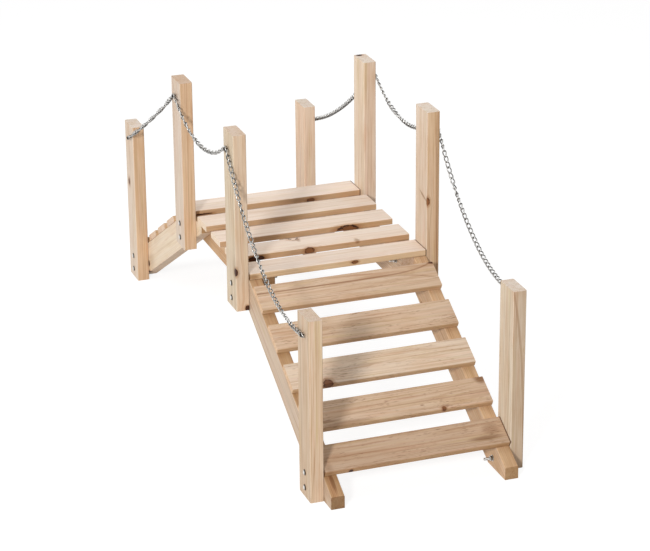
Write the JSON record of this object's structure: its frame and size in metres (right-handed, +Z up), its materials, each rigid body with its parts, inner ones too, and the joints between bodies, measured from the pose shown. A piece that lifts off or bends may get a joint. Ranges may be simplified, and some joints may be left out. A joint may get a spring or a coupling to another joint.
{
  "type": "garden footbridge",
  "caption": "Wooden garden footbridge with a level deck between two plank ramps and hanging chain rails on short posts.",
  "frame": {"origin": "on the ground, halfway between the tips of the two ramps and on the bridge's centreline", "axes": "+X along the bridge towards its longer ramp, +Y across the bridge towards the posts named right, +Z up"},
  "size_m": [1.8876, 0.6372, 0.825],
  "materials": {
    "fir": "satin",
    "galvanized_steel": "satin"
  },
  "bodies": {
    "root": {"chain_deck_left": "galvanized_steel", "chain_deck_right": "galvanized_steel", "chain_far_left": "galvanized_steel", "chain_far_right": "galvanized_steel", "chain_near_left": "galvanized_steel", "chain_near_right": "galvanized_steel", "deck_plank_1": "fir", "deck_plank_2": "fir", "deck_plank_3": "fir", "deck_plank_4": "fir", "deck_plank_5": "fir", "deck_stringer_left": "fir", "deck_stringer_right": "fir", "far_deck_post_left": "fir", "far_deck_post_right": "fir", "far_end_post_left": "fir", "far_end_post_right": "fir", "far_ramp_plank_1": "fir", "far_ramp_plank_2": "fir", "far_ramp_plank_3": "fir", "far_ramp_plank_4": "fir", "far_ramp_plank_5": "fir", "far_ramp_stringer_left": "fir", "far_ramp_stringer_right": "fir", "near_deck_post_left": "fir", "near_deck_post_right": "fir", "near_end_post_left": "fir", "near_end_post_right": "fir", "near_ramp_plank_1": "fir", "near_ramp_plank_2": "fir", "near_ramp_plank_3": "fir", "near_ramp_plank_4": "fir", "near_ramp_plank_5": "fir", "near_ramp_stringer_left": "fir", "near_ramp_stringer_right": "fir"}
  },
  "joints": []
}
